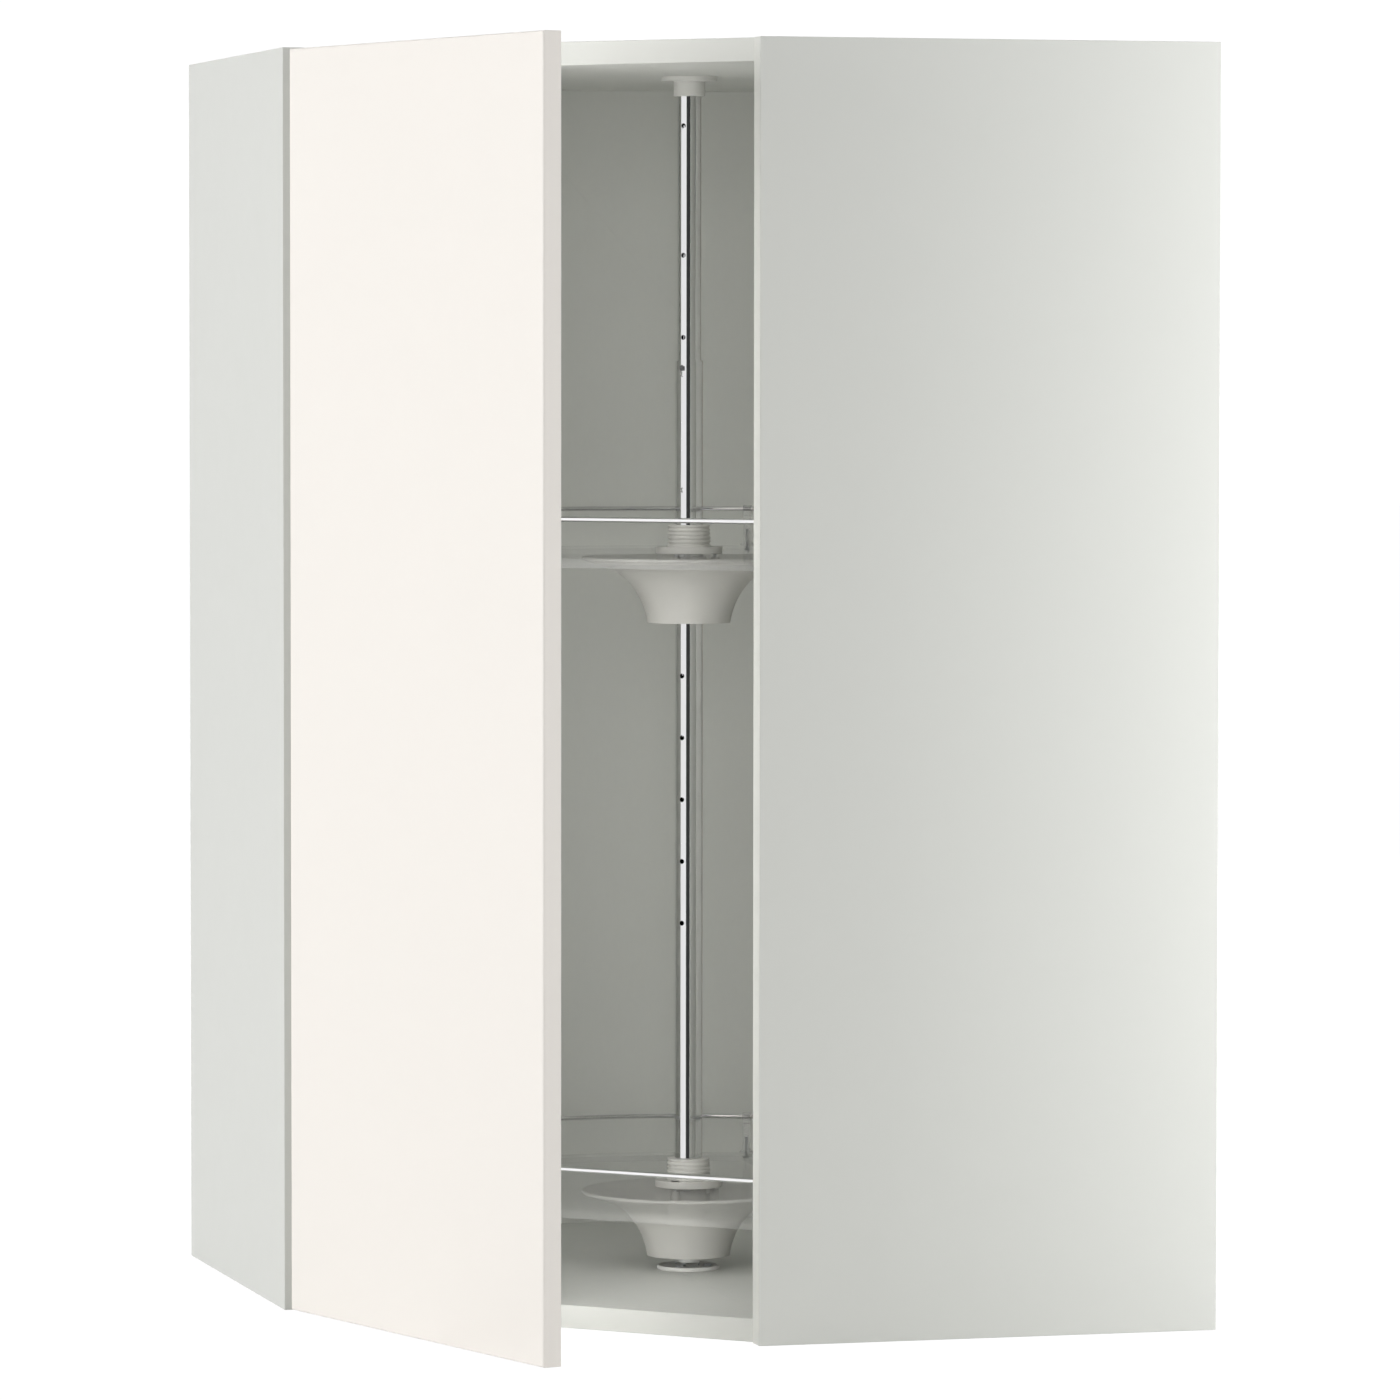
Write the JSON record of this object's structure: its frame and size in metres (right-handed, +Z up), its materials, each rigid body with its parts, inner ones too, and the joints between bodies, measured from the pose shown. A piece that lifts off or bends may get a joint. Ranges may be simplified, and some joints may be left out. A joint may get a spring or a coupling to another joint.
{
  "type": "corner carousel cabinet",
  "caption": "Tall diagonal corner wall cabinet with a slab door on link hinges and clear round trays with wire rails turning on a chrome pole.",
  "frame": {"origin": "the room corner at the underside: where the planes of the two walls meet the plane of the bottom", "axes": "+Z up; the left arm of the cabinet runs along -X on the wall y = 0, the right arm along -Y on the wall x = 0; the diagonal door faces (-X, -Y)"},
  "size_m": [0.675, 0.7612, 1],
  "materials": {
    "carcass_white": "matt foil",
    "back_white": "matt painted hardboard",
    "batten_wood": "sawn softwood",
    "dowel_wood": "beech",
    "zinc_steel": "zinc plated",
    "nail_steel": "bright steel",
    "bracket_steel": "zinc plated",
    "hinge_steel": "nickel plated",
    "bearing_plastic": "satin",
    "pole_chrome": "polished",
    "rail_chrome": "polished",
    "door_foil": "satin foil",
    "tray_clear": "clear plastic",
    "post_clear": "frosted plastic",
    "hub_plastic": "satin",
    "plug_plastic": "satin"
  },
  "bodies": {
    "cabinet": {"left_side_panel": "carcass_white", "right_side_panel": "carcass_white", "top_panel": "carcass_white", "bottom_panel": "carcass_white", "back_panel": "back_white", "right_back_panel": "back_white", "corner_batten": "batten_wood", "dowels": "dowel_wood", "cam_bolts": "zinc_steel", "cam_locks": "zinc_steel", "back_nails": "nail_steel", "hanging_brackets": "bracket_steel", "bracket_screws": "zinc_steel", "hinge_plates": "hinge_steel", "plate_screws": "zinc_steel", "hinge_arms": "hinge_steel", "arm_screws": "zinc_steel", "arm_pins": "hinge_steel", "floor_plate": "bearing_plastic", "floor_spigot": "pole_chrome", "floor_screws": "zinc_steel", "ceiling_plate": "bearing_plastic", "ceiling_screws": "zinc_steel"},
    "hinge_link_pair": {"hinge_links": "hinge_steel"},
    "door": {"door_panel": "door_foil", "hinge_cups": "hinge_steel", "cup_screws": "zinc_steel", "door_pins": "hinge_steel"},
    "carousel": {"lower_tube": "pole_chrome", "upper_tube": "pole_chrome", "tube_catch": "hinge_steel", "foot_plug": "plug_plastic", "top_plug": "plug_plastic", "lower_tray": "tray_clear", "upper_tray": "tray_clear", "lower_hub_cone": "hub_plastic", "upper_hub_cone": "hub_plastic", "lower_hub_collar": "hub_plastic", "upper_hub_collar": "hub_plastic", "hub_screws": "zinc_steel", "grub_screws": "zinc_steel", "lower_tray_rail": "rail_chrome", "upper_tray_rail": "rail_chrome", "lower_rail_posts": "post_clear", "upper_rail_posts": "post_clear", "post_screws": "zinc_steel"}
  },
  "joints": [
    {"name": "links_swing", "type": "hinge", "parent": "cabinet", "child": "hinge_link_pair", "pos_m": [-0.63145, -0.39386, 0.5], "axis": [0, 0, -1], "range_deg": [-46, 18]},
    {"name": "door_swing", "type": "hinge", "parent": "hinge_link_pair", "child": "door", "pos_m": [-0.64873, -0.38482, 0.5], "axis": [0, 0, -1], "range_deg": [-46.4, 120]},
    {"name": "carousel_turn", "type": "hinge", "parent": "cabinet", "child": "carousel", "pos_m": [-0.332, -0.332, 0.03], "axis": [0, 0, 1], "continuous": true}
  ],
  "couplings": [
    {"joint": "links_swing", "follows": "door_swing", "ratio": -0.375}
  ]
}
